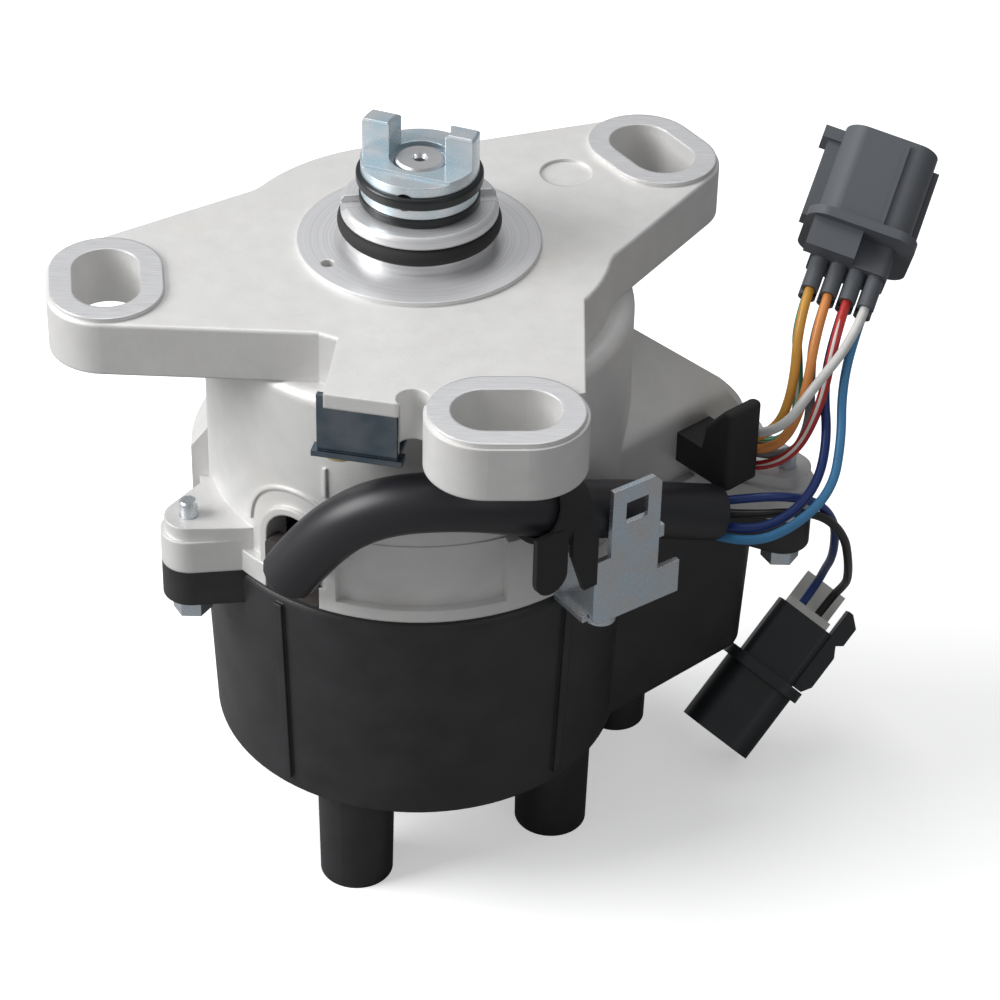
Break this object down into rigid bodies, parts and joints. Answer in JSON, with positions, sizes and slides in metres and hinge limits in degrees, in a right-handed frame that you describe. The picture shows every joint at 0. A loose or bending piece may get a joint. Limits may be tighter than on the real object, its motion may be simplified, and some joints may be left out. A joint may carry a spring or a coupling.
{
  "type": "ignition distributor",
  "caption": "Ignition distributor with slotted flange, spinning drive shaft, high voltage cap, internal coil and two-connector harness.",
  "frame": {"origin": "on the drive shaft's axis at the root of the locating nose, 1 mm behind the bolting faces of the ears", "axes": "+Z along the shaft out through the coupling, towards the engine; -Y towards the front ear and the sleeve; +X towards the coil chamber and the connectors"},
  "size_m": [0.2065, 0.1491, 0.191],
  "materials": {
    "cast_body": "satin cast",
    "black_moulding": "satin",
    "rotor_moulding": "satin",
    "seal_rubber": "matte",
    "sleeve_rubber": "satin",
    "grommet_rubber": "matte",
    "zinc_steel": "zinc plated",
    "yellow_zinc": "yellow zinc plated",
    "ground_steel": "ground",
    "dark_steel": "oiled",
    "spring_steel": "satin",
    "bush_bronze": "sintered",
    "terminal_metal": "bright",
    "brush_carbon": "matte",
    "grey_nylon": "satin",
    "pale_nylon": "satin",
    "lead_white": "soft gloss",
    "lead_orange": "soft gloss",
    "lead_red": "soft gloss",
    "lead_yellow": "soft gloss",
    "lead_green": "soft gloss",
    "lead_grey": "soft gloss",
    "lead_dark_blue": "soft gloss",
    "lead_light_blue": "soft gloss",
    "lead_black": "soft gloss"
  },
  "bodies": {
    "body": {"housing": "cast_body", "distributor_cap": "black_moulding", "cap_seal": "seal_rubber", "cap_bolts": "zinc_steel", "cap_terminals": "terminal_metal", "brush_spring": "spring_steel", "nose_o_ring": "seal_rubber", "oil_seal": "seal_rubber", "shaft_bush": "bush_bronze", "bearing_outer_race": "ground_steel", "bearing_circlip": "spring_steel", "pickup_coils": "black_moulding", "sensor_plate": "zinc_steel", "dust_shield": "black_moulding", "igniter_module": "black_moulding", "ignition_coil": "black_moulding", "lead_grommet": "grommet_rubber", "lead_boot": "seal_rubber", "harness_plate": "zinc_steel", "harness_plate_screw": "yellow_zinc", "tab_bracket": "zinc_steel", "tab_bracket_screw": "yellow_zinc", "sleeve_strap": "seal_rubber", "connector_shell": "grey_nylon", "connector_seal": "grommet_rubber", "connector_pins": "terminal_metal", "plug_shell": "grey_nylon", "plug_latch": "grey_nylon", "plug_holder": "pale_nylon", "harness_sleeve": "sleeve_rubber", "entry_lead_white": "lead_white", "entry_lead_orange": "lead_orange", "lead_white": "lead_white", "lead_orange": "lead_orange", "lead_red": "lead_red", "lead_yellow": "lead_yellow", "lead_green": "lead_green", "lead_grey": "lead_grey", "lead_dark_blue": "lead_dark_blue", "lead_light_blue": "lead_light_blue", "plug_lead_blue": "lead_dark_blue", "plug_lead_black": "lead_black"},
    "drive": {"drive_shaft": "ground_steel", "drive_coupling": "zinc_steel", "coupling_pin": "dark_steel", "coupling_retaining_ring": "spring_steel", "thrust_ring": "black_moulding", "bearing_inner_race": "ground_steel", "crank_reluctor": "dark_steel", "phase_reluctor": "dark_steel", "cylinder_reluctor": "dark_steel", "rotor_arm": "rotor_moulding", "rotor_electrode": "terminal_metal", "rotor_screw": "zinc_steel"},
    "ball_set": {"bearing_cage": "bush_bronze", "bearing_balls": "ground_steel"},
    "brush": {"carbon_brush": "brush_carbon"}
  },
  "joints": [
    {"name": "shaft_spin", "type": "hinge", "parent": "body", "child": "drive", "pos_m": [0, 0, 0], "axis": [0, 0, 1], "continuous": true},
    {"name": "cage_spin", "type": "hinge", "parent": "body", "child": "ball_set", "pos_m": [0, 0, -0.032], "axis": [0, 0, 1], "continuous": true},
    {"name": "brush_slide", "type": "slide", "parent": "body", "child": "brush", "axis": [0, 0, 1], "range_m": [-0.0015, 0], "stiffness_N_per_m": 120, "springref_m": 0.004, "deforming": ["brush_spring"]}
  ],
  "couplings": [
    {"joint": "cage_spin", "follows": "shaft_spin", "ratio": 0.381}
  ]
}
